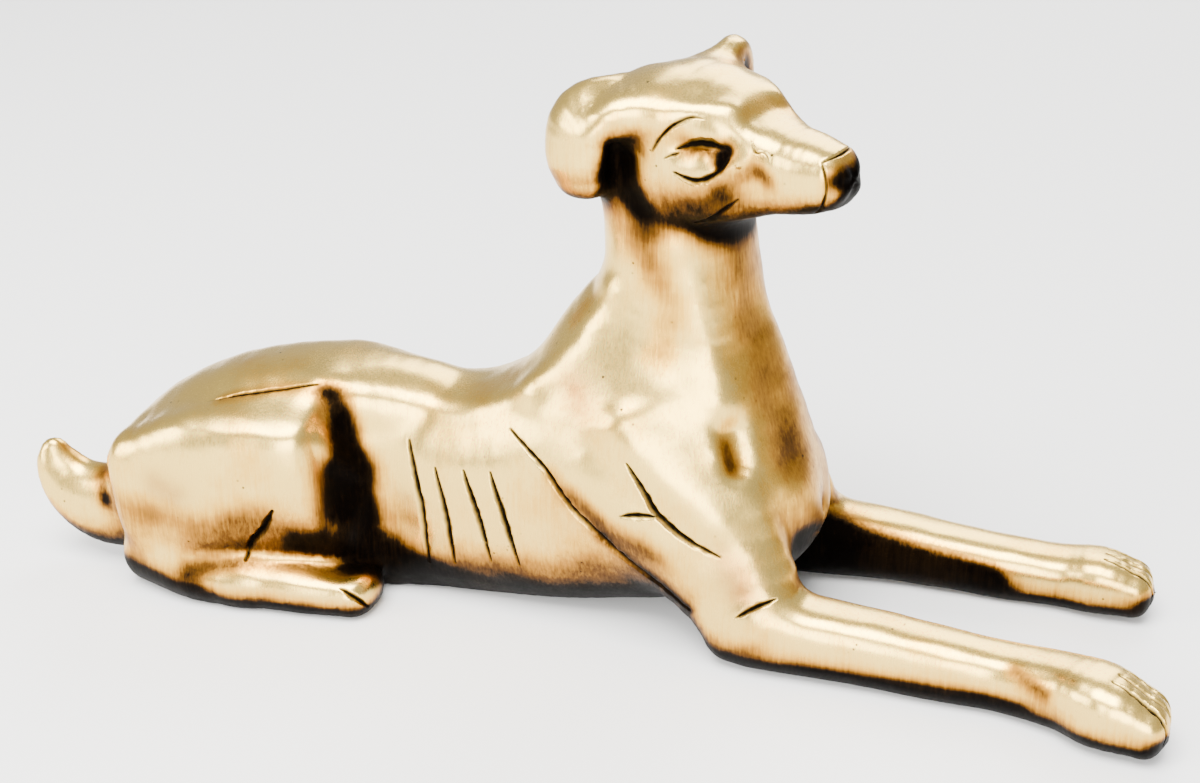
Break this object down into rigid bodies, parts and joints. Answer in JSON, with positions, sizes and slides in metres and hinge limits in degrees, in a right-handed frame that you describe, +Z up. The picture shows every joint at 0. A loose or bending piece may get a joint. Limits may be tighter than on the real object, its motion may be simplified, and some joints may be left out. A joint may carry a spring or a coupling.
{
  "type": "reclining dog statue",
  "caption": "Cast brass statue of a dog lying on its belly, head raised and turned to its right, forelegs stretched forward and hind feet beside the body.",
  "frame": {"origin": "middle of the statue's plan, on the surface it lies on", "axes": "+X from tail to forepaws, +Y to the dog's left, +Z up"},
  "size_m": [0.4294, 0.1184, 0.2108],
  "materials": {
    "brass": "worn antique polish, darkened in the recesses and carved lines"
  },
  "bodies": {
    "root": {"dog": "brass"}
  },
  "joints": []
}
